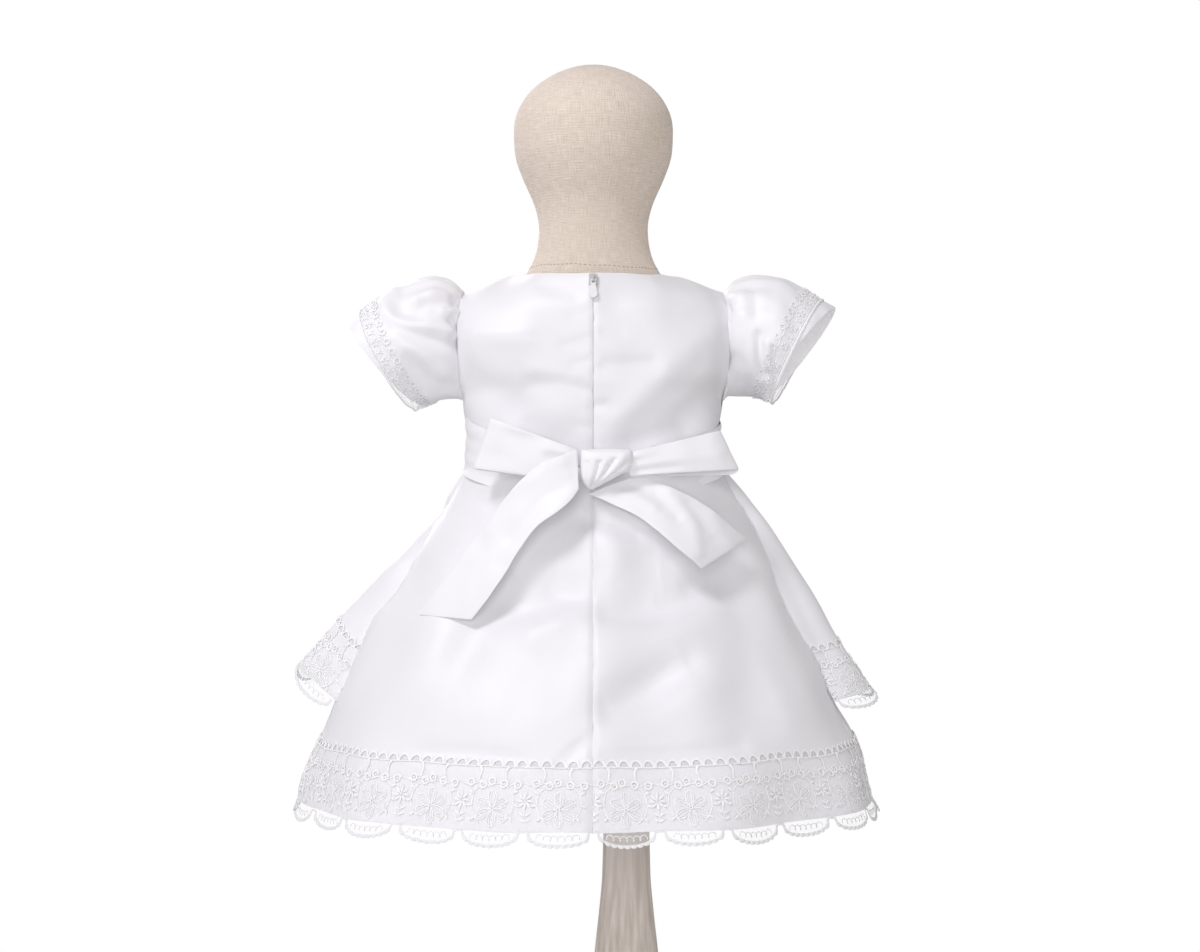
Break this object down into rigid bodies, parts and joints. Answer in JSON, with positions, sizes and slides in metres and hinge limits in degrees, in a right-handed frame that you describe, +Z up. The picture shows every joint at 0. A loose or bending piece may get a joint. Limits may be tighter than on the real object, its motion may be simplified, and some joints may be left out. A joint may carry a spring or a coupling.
{
  "type": "christening gown on a dress form with a stand",
  "caption": "White satin christening gown with puffed bell sleeves, lace-edged overskirt and hem, back zip and sash bow, worn by a linen dress form with a plain head on a turned stand.",
  "frame": {"origin": "centre of the flat underside of the round stand base, where it rests on the table", "axes": "+Z up; the gown's front faces -Y and its zipped back with the bow faces +Y; +X is the wearer's left. The form with the gown is centred at x 0.025, and the pole stands on the Z axis"},
  "size_m": [0.4457, 0.3485, 0.747],
  "materials": {
    "white_satin": "soft satin sheen",
    "white_lace": "matt corded lace on net",
    "zip_tape": "matt woven tape",
    "zip_pull": "glossy white paint",
    "zip_metal": "plain metal",
    "linen": "coarse natural linen weave",
    "pale_wood": "greyish limed wood"
  },
  "bodies": {
    "gown_and_stand": {"bodice_back_left": "white_satin", "bodice_back_right": "white_satin", "bodice_front": "white_satin", "bow_knot": "white_satin", "bow_loop_left": "white_satin", "bow_loop_right": "white_satin", "bow_tail_left": "white_satin", "bow_tail_right": "white_satin", "dress_form": "linen", "hem_lace_left": "white_lace", "hem_lace_right": "white_lace", "overskirt": "white_satin", "overskirt_lace": "white_lace", "sash_back_left": "white_satin", "sash_back_right": "white_satin", "sash_front_left": "white_satin", "sash_front_right": "white_satin", "skirt_back_left": "white_satin", "skirt_back_right": "white_satin", "skirt_front": "white_satin", "sleeve_left": "white_satin", "sleeve_left_lace": "white_lace", "sleeve_right": "white_satin", "sleeve_right_lace": "white_lace", "stand_base": "pale_wood", "stand_pole": "pale_wood", "zip_slider": "zip_metal", "zip_tape": "zip_tape"},
    "pull_tab": {"zip_pull": "zip_pull"}
  },
  "joints": [
    {"name": "pull_tab_swing", "type": "hinge", "parent": "gown_and_stand", "child": "pull_tab", "pos_m": [0.025, 0.05654, 0.58008], "axis": [1, 0, 0], "range_deg": [0, 125]}
  ]
}
